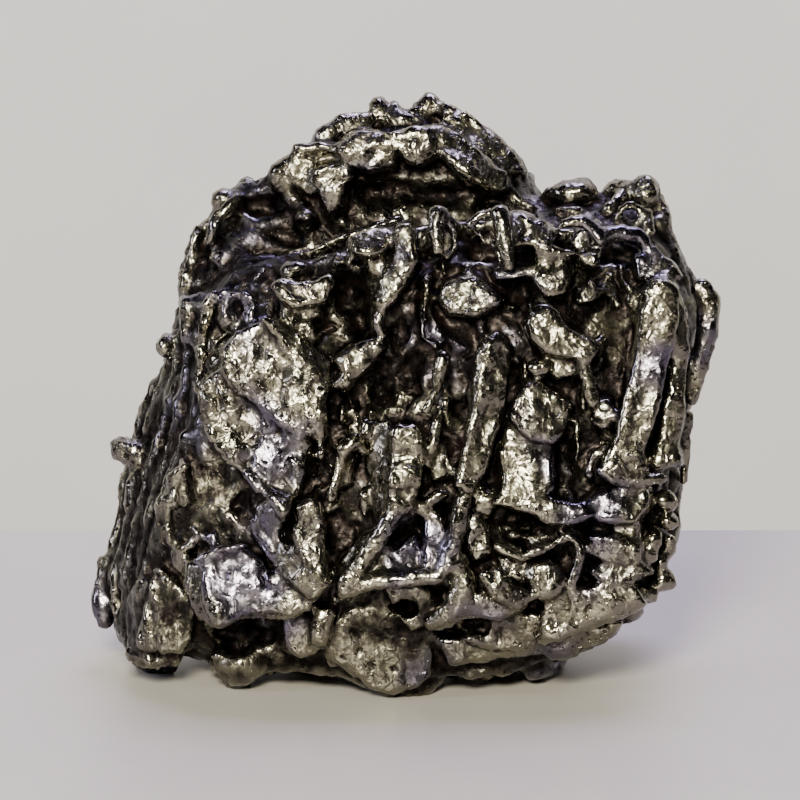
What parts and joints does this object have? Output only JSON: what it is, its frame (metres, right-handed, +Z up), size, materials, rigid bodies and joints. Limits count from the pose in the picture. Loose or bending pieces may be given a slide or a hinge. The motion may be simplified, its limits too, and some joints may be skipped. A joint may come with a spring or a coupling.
{
  "type": "iron meteorite",
  "caption": "Palm-sized lump of coarse nickel-iron, torn open along its crystal plates, with melted ribs, pits and knobs and flat-worn feet to lie on.",
  "frame": {"origin": "middle of the bounding box's base, on the table that the stone lies on", "axes": "+Z up, +X to the right and -Y towards the viewer when one looks at the ribbed face"},
  "size_m": [0.0634, 0.0454, 0.0576],
  "materials": {
    "meteoritic_iron": "dark, melted and half-polished natural iron, bright on the raised plates and rust-black in the hollows"
  },
  "bodies": {
    "root": {"meteorite": "meteoritic_iron"}
  },
  "joints": []
}
